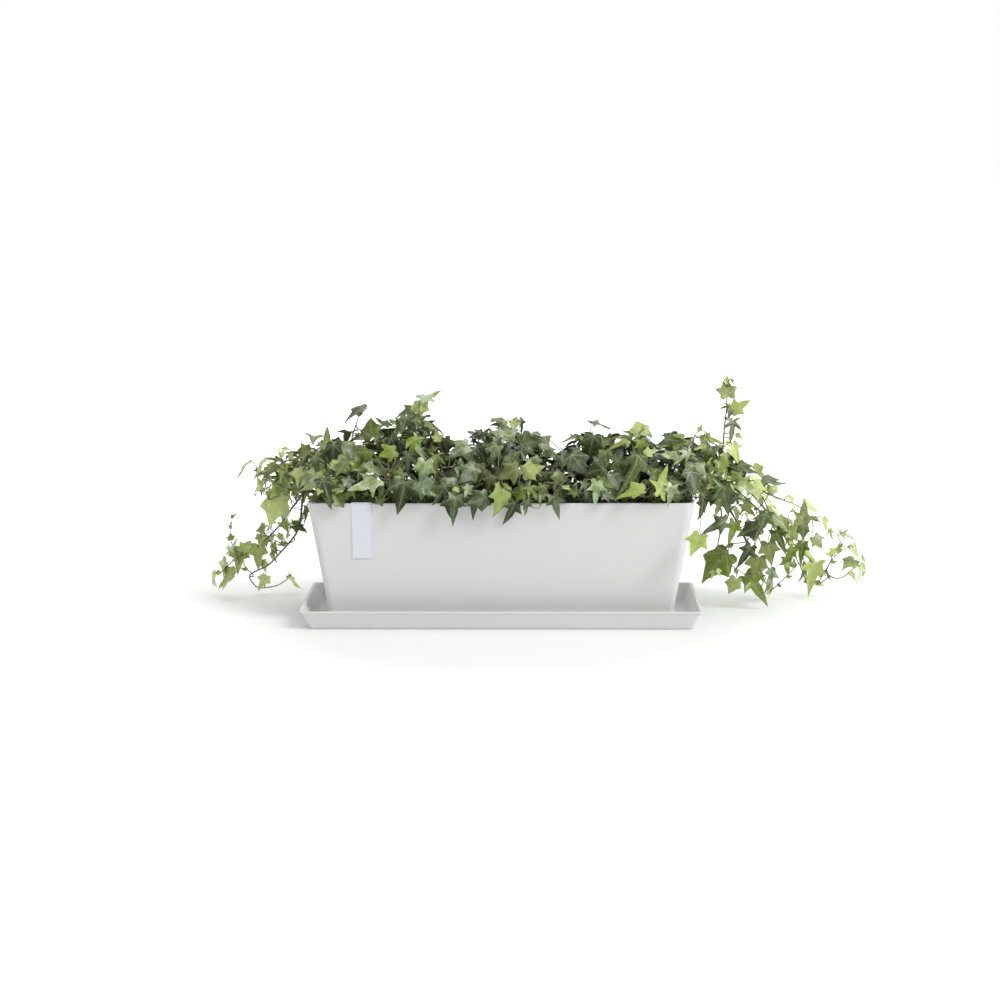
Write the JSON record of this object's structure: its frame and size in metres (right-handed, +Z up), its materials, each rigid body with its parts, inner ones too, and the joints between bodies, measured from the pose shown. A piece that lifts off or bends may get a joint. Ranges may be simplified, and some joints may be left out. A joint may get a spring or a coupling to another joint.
{
  "type": "planted trough planter with saucer",
  "caption": "Long tapered plastic plant pot standing in its own saucer, filled with soil and planted with trailing ivy.",
  "frame": {"origin": "middle of the saucer's underside, on the table", "axes": "+X along the planter to the right, seen from the front where the tag hangs; -Y to the front; +Z up"},
  "size_m": [1.0081, 0.2872, 0.3479],
  "materials": {
    "planter_plastic": "matte white moulded polypropylene, finely textured",
    "tag_film": "smooth bluish-white strap, bare",
    "potting_soil": "damp dark potting soil, crumbly and matte",
    "ivy": "satin dark green leaves with paler veins, light green young leaves, brown-purple stems"
  },
  "bodies": {
    "saucer": {"saucer": "planter_plastic"},
    "pot": {"pot_shell": "planter_plastic", "label_tag": "tag_film"},
    "planting": {"potting_soil": "potting_soil", "ivy_front_1": "ivy", "ivy_front_2": "ivy", "ivy_front_3": "ivy", "ivy_front_4": "ivy", "ivy_front_5": "ivy", "ivy_front_6": "ivy", "ivy_front_7": "ivy", "ivy_top_1": "ivy", "ivy_top_2": "ivy", "ivy_top_3": "ivy", "ivy_top_4": "ivy", "ivy_top_5": "ivy", "ivy_top_6": "ivy", "ivy_top_7": "ivy", "ivy_top_8": "ivy", "ivy_back_1": "ivy", "ivy_back_2": "ivy", "ivy_back_3": "ivy", "ivy_back_4": "ivy", "ivy_back_5": "ivy", "ivy_left_1": "ivy", "ivy_left_2": "ivy", "ivy_left_trailing_1": "ivy", "ivy_left_trailing_2": "ivy", "ivy_right_trailing_1": "ivy", "ivy_right_trailing_2": "ivy", "ivy_right_trailing_3": "ivy", "ivy_right_trailing_4": "ivy", "ivy_right_trailing_5": "ivy", "ivy_right_trailing_6": "ivy", "ivy_right_trailing_7": "ivy", "ivy_shoot_1": "ivy"}
  },
  "joints": [
    {"name": "pot_lift", "type": "slide", "parent": "saucer", "child": "pot", "axis": [0, 0, 1], "range_m": [0, 0.08]},
    {"name": "planting_lift", "type": "slide", "parent": "pot", "child": "planting", "axis": [0, 0, 1], "range_m": [0, 0.2]}
  ]
}
